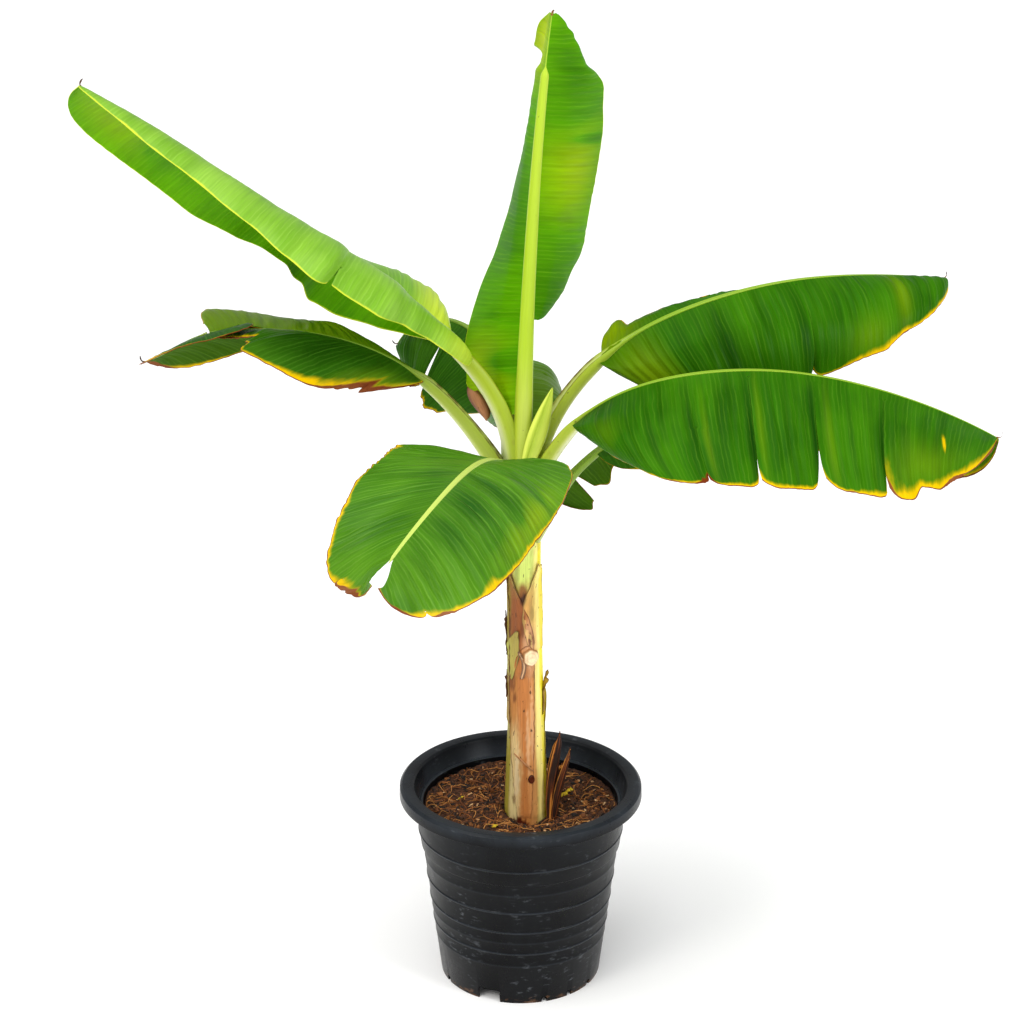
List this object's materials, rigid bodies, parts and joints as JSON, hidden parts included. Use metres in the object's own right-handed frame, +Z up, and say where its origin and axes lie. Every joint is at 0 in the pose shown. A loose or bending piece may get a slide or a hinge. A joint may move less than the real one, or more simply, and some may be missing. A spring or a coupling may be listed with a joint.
{
  "type": "potted banana plant",
  "caption": "Young banana plant: a pale stem with broad arching leaves, growing in a tapered black plastic nursery pot filled with soil.",
  "frame": {"origin": "middle of the pot's flat foot, on the ground", "axes": "+Z up, -Y the side the plant is viewed from, +X to that viewer's right"},
  "size_m": [1.3323, 1.0174, 1.5391],
  "materials": {
    "pot_plastic": "scuffed matte black polypropylene",
    "soil": "coarse crumbly bark and coir compost",
    "stem": "dry papery leaf sheaths over green",
    "dry_sheath": "dead fibrous sheath",
    "stalk": "smooth waxy leaf stalk",
    "blade": "satin leaf with fine cross veins",
    "spear": "smooth young leaf"
  },
  "bodies": {
    "root": {"pot": "pot_plastic", "soil": "soil", "pseudostem": "stem", "dry_stub": "dry_sheath", "spear": "spear", "upper_left_rib": "stalk", "upper_left_blade_left": "blade", "upper_left_blade_right": "blade", "upright_rib": "stalk", "upright_blade_left": "blade", "upright_blade_right": "blade", "upper_right_rib": "stalk", "upper_right_blade_left": "blade", "upper_right_blade_right": "blade", "lower_right_rib": "stalk", "lower_right_blade_left": "blade", "lower_right_blade_right": "blade", "front_rib": "stalk", "front_blade_left": "blade", "front_blade_right": "blade", "lower_left_rib": "stalk", "lower_left_blade_left": "blade", "lower_left_blade_right": "blade", "lower_left_tip_rib": "stalk", "lower_left_tip_blade_left": "blade", "lower_left_tip_blade_right": "blade", "low_right_rib": "stalk", "low_right_blade_left": "blade", "low_right_blade_right": "blade", "back_left_rib": "stalk", "back_left_blade_left": "blade", "back_left_blade_right": "blade", "back_rib": "stalk", "back_blade_left": "blade", "back_blade_right": "blade"}
  },
  "joints": []
}
